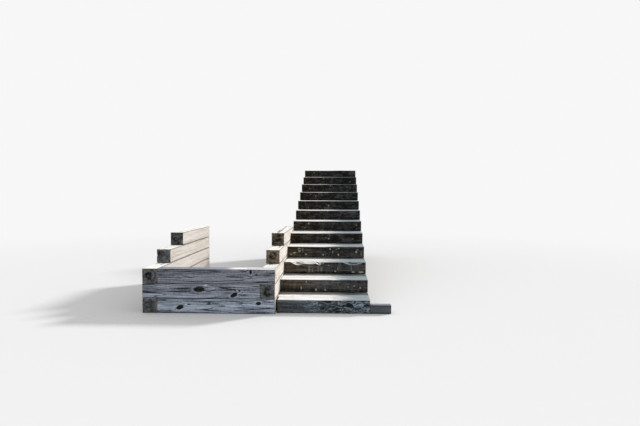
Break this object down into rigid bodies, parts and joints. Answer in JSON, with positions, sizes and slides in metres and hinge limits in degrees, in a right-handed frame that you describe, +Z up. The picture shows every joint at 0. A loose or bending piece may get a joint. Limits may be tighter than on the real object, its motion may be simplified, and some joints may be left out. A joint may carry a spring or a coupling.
{
  "type": "timber garden stairs",
  "caption": "Straight flight of garden stairs made of heavy square timbers, with a stepped cheek wall and a low crib-cornered retaining wall on its left side.",
  "frame": {"origin": "middle of the footprint, at ground level", "axes": "+X to the right for someone who goes up, +Y into the flight from its foot, +Z up"},
  "size_m": [2.5408, 5.4596, 1.68],
  "materials": {
    "riser_wood": "damp weathered timber, nearly black, with pale lichen specks",
    "tread_wood": "sun-bleached weathered timber",
    "wall_wood": "weathered blue-grey timber with knots and drying checks",
    "side_wall_wood": "weathered timber, warm grey, with dark end grain",
    "support_wood": "weathered timber that lies in the bank",
    "curb_wood": "damp weathered timber"
  },
  "bodies": {
    "root": {"step_1_riser": "riser_wood", "step_2_riser": "riser_wood", "step_3_riser": "riser_wood", "step_4_riser": "riser_wood", "step_5_riser": "riser_wood", "step_6_riser": "riser_wood", "step_7_riser": "riser_wood", "step_8_riser": "riser_wood", "step_9_riser": "riser_wood", "step_10_riser": "riser_wood", "step_11_riser": "riser_wood", "step_12_riser": "riser_wood", "step_1_tread": "tread_wood", "step_2_tread": "tread_wood", "step_3_tread": "tread_wood", "step_4_tread": "tread_wood", "step_5_tread": "tread_wood", "step_6_tread": "tread_wood", "step_7_tread": "tread_wood", "step_8_tread": "tread_wood", "step_9_tread": "tread_wood", "step_10_tread": "tread_wood", "step_11_tread": "tread_wood", "step_12_tread": "tread_wood", "front_wall_course_1": "wall_wood", "front_wall_course_2": "wall_wood", "front_wall_course_3": "wall_wood", "cheek_wall_course_1": "side_wall_wood", "cheek_wall_course_2": "side_wall_wood", "cheek_wall_course_3": "side_wall_wood", "cheek_wall_course_4": "side_wall_wood", "cheek_wall_course_5": "side_wall_wood", "return_wall_course_1": "side_wall_wood", "return_wall_course_2": "side_wall_wood", "return_wall_course_3": "side_wall_wood", "return_wall_course_4": "side_wall_wood", "return_wall_course_5": "side_wall_wood", "left_support_odd_courses": "support_wood", "left_support_even_courses": "support_wood", "right_support_odd_courses": "support_wood", "right_support_even_courses": "support_wood", "back_wall_odd_courses": "support_wood", "back_wall_even_courses": "support_wood", "side_curb": "curb_wood"}
  },
  "joints": []
}
